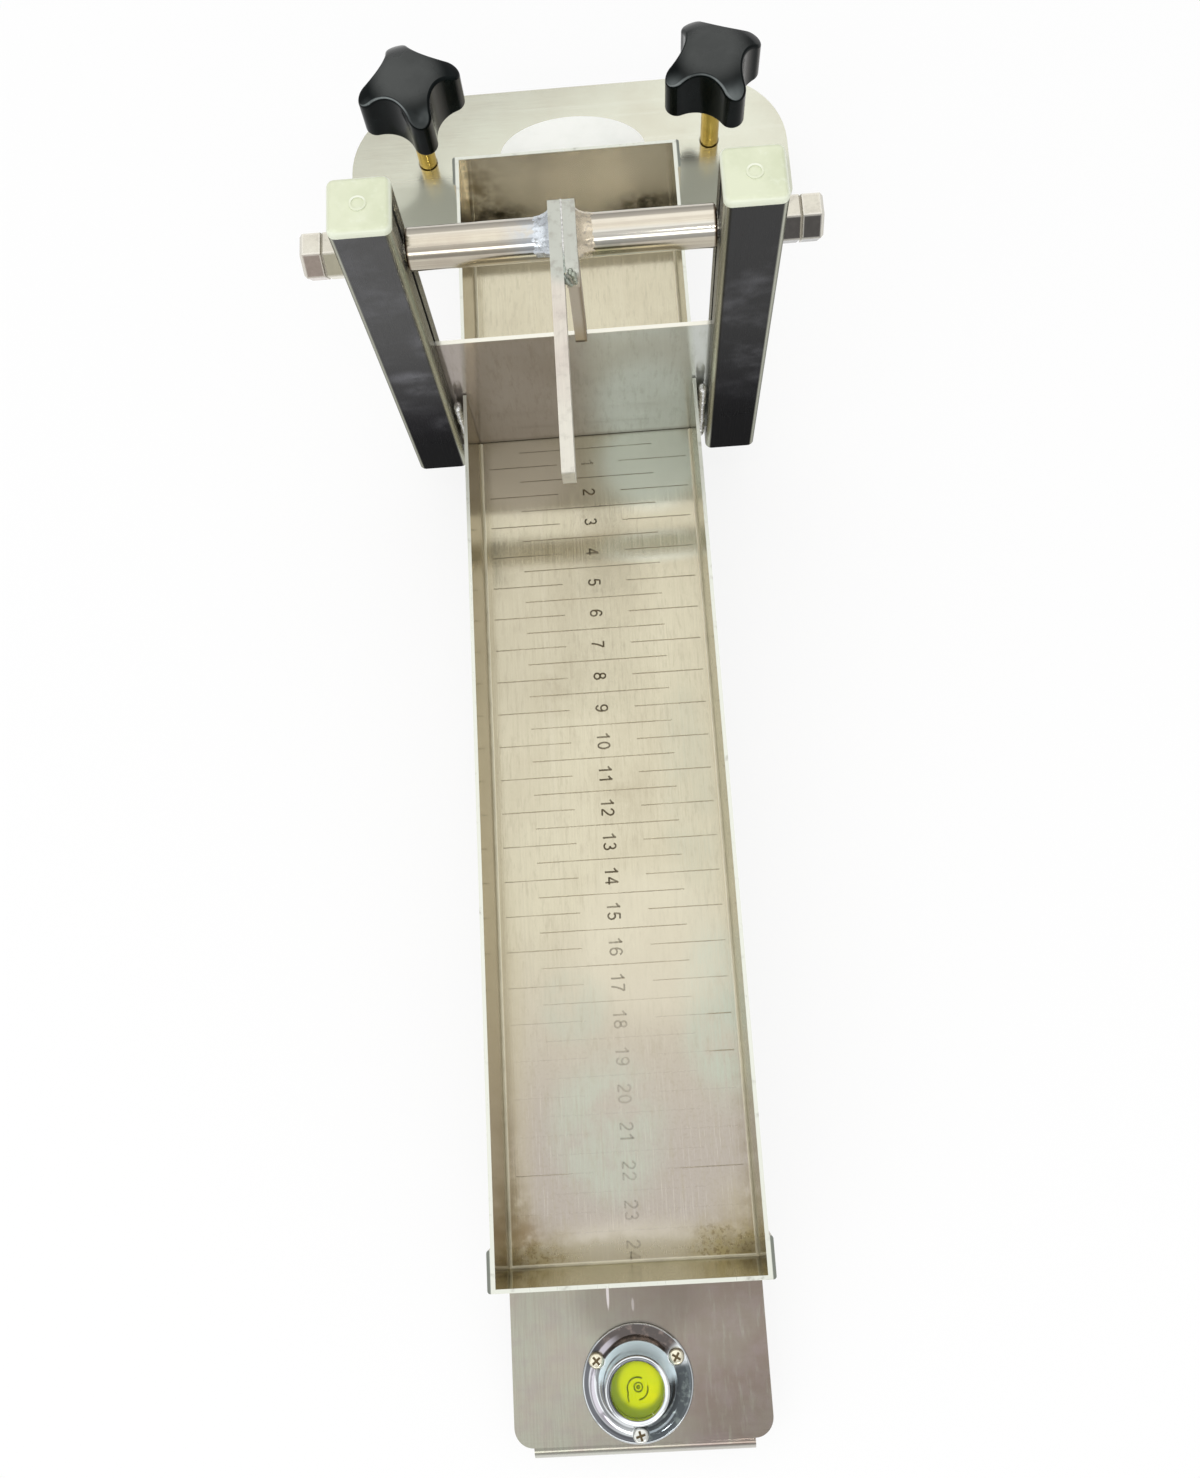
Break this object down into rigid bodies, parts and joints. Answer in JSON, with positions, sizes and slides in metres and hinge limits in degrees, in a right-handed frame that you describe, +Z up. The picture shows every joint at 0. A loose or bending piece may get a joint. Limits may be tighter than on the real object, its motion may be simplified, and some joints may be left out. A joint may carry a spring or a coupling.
{
  "type": "bostwick consistometer",
  "caption": "Open stainless trough with a graduated floor, a spring gate sliding in square posts, a press trigger with latch, lobed levelling screws and a round spirit level.",
  "frame": {"origin": "centre of the overall box on the table plane, under the front foot and the levelling screw tips", "axes": "+Z up, +Y from the spirit level towards the reservoir, +X across the trough to the right as seen from the spirit level"},
  "size_m": [0.147, 0.4214, 0.1297],
  "materials": {
    "tray_steel": "brushed lengthwise",
    "base_steel": "satin brushed",
    "post_steel": "polished tube",
    "gate_steel": "satin brushed",
    "rod_steel": "polished bar",
    "lever_steel": "matte",
    "weld_steel": "as welded",
    "spring_steel": "drawn wire",
    "fastener_steel": "turned",
    "cap_plastic": "moulded",
    "plug_plastic": "moulded",
    "knob_plastic": "moulded",
    "stud_brass": "turned",
    "level_chrome": "polished",
    "level_glass": "clear",
    "level_liquid": "fluorescent liquid",
    "screw_nickel": "plated"
  },
  "bodies": {
    "frame": {"base_plate": "base_steel", "left_gate_spring": "spring_steel", "left_lock_nut": "fastener_steel", "left_pivot_bolt": "fastener_steel", "left_post": "post_steel", "left_post_cap": "cap_plastic", "left_post_foot_plug": "plug_plastic", "left_post_welds": "weld_steel", "left_weld_nut": "fastener_steel", "level_glass": "level_glass", "level_housing": "level_chrome", "level_liquid": "level_liquid", "level_screws": "screw_nickel", "right_gate_spring": "spring_steel", "right_lock_nut": "fastener_steel", "right_pivot_bolt": "fastener_steel", "right_post": "post_steel", "right_post_cap": "cap_plastic", "right_post_foot_plug": "plug_plastic", "right_post_welds": "weld_steel", "right_weld_nut": "fastener_steel", "tray": "tray_steel"},
    "gate": {"gate": "gate_steel"},
    "trigger": {"trigger_rod": "rod_steel", "trigger_handle": "lever_steel", "latch_finger": "lever_steel"},
    "left_screw": {"left_levelling_stud": "stud_brass"},
    "left_knob": {"left_knob": "knob_plastic"},
    "right_screw": {"right_levelling_stud": "stud_brass"},
    "right_knob": {"right_knob": "knob_plastic"}
  },
  "joints": [
    {"name": "trigger_press", "type": "hinge", "parent": "frame", "child": "trigger", "pos_m": [0, 0.07875, 0.112], "axis": [1, 0, 0], "range_deg": [0, 75]},
    {"name": "gate_rise", "type": "slide", "parent": "frame", "child": "gate", "axis": [0, 0, 1], "range_m": [0, 0.028], "deforming": ["left_gate_spring", "right_gate_spring"]},
    {"name": "left_screw_rise", "type": "slide", "parent": "frame", "child": "left_screw", "axis": [0, 0, 1], "range_m": [-0.005, 0.005]},
    {"name": "left_knob_turn", "type": "hinge", "parent": "left_screw", "child": "left_knob", "pos_m": [-0.0475, 0.18475, 0.045], "axis": [0, 0, 1], "range_deg": [-1800, 1800]},
    {"name": "right_screw_rise", "type": "slide", "parent": "frame", "child": "right_screw", "axis": [0, 0, 1], "range_m": [-0.005, 0.005]},
    {"name": "right_knob_turn", "type": "hinge", "parent": "right_screw", "child": "right_knob", "pos_m": [0.0475, 0.18475, 0.045], "axis": [0, 0, 1], "range_deg": [-1800, 1800]}
  ],
  "couplings": [
    {"joint": "gate_rise", "follows": "trigger_press", "m_per_rad": 0.02139},
    {"joint": "left_screw_rise", "follows": "left_knob_turn", "m_per_rad": 0.00015915},
    {"joint": "right_screw_rise", "follows": "right_knob_turn", "m_per_rad": 0.00015915}
  ]
}
